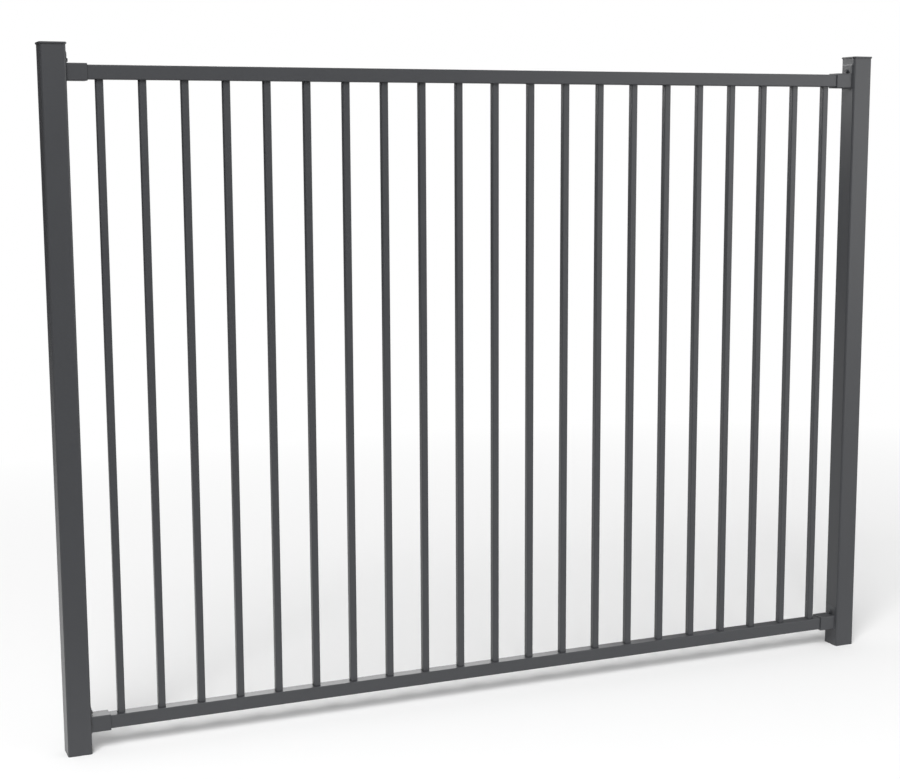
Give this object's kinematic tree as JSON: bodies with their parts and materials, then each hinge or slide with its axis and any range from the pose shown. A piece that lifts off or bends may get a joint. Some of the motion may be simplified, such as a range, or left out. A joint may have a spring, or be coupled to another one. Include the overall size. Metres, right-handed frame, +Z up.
{
  "type": "flat-topped steel picket fence panel with two posts",
  "caption": "Flat-topped steel fence panel: square pickets between two rails, held by screwed cup brackets on two square posts with overhanging flat caps.",
  "frame": {"origin": "centre of the left post's foot, on the ground line", "axes": "+X along the fence towards the right post, +Y away from the viewer, through the fence, +Z up the posts"},
  "size_m": [2.4892, 0.0684, 1.8462],
  "materials": {
    "powder_coat": "satin charcoal powder coat on steel tube",
    "bracket_coat": "satin charcoal powder coat on formed steel",
    "cap_coat": "satin charcoal powder coat on pressed steel"
  },
  "bodies": {
    "root": {"left_post": "powder_coat", "right_post": "powder_coat", "left_post_cap": "cap_coat", "right_post_cap": "cap_coat", "top_rail": "powder_coat", "bottom_rail": "powder_coat", "top_left_bracket": "bracket_coat", "top_right_bracket": "bracket_coat", "bottom_left_bracket": "bracket_coat", "bottom_right_bracket": "bracket_coat", "picket_01": "powder_coat", "picket_02": "powder_coat", "picket_03": "powder_coat", "picket_04": "powder_coat", "picket_05": "powder_coat", "picket_06": "powder_coat", "picket_07": "powder_coat", "picket_08": "powder_coat", "picket_09": "powder_coat", "picket_10": "powder_coat", "picket_11": "powder_coat", "picket_12": "powder_coat", "picket_13": "powder_coat", "picket_14": "powder_coat", "picket_15": "powder_coat", "picket_16": "powder_coat", "picket_17": "powder_coat", "picket_18": "powder_coat", "picket_19": "powder_coat", "picket_20": "powder_coat", "picket_21": "powder_coat"}
  },
  "joints": []
}
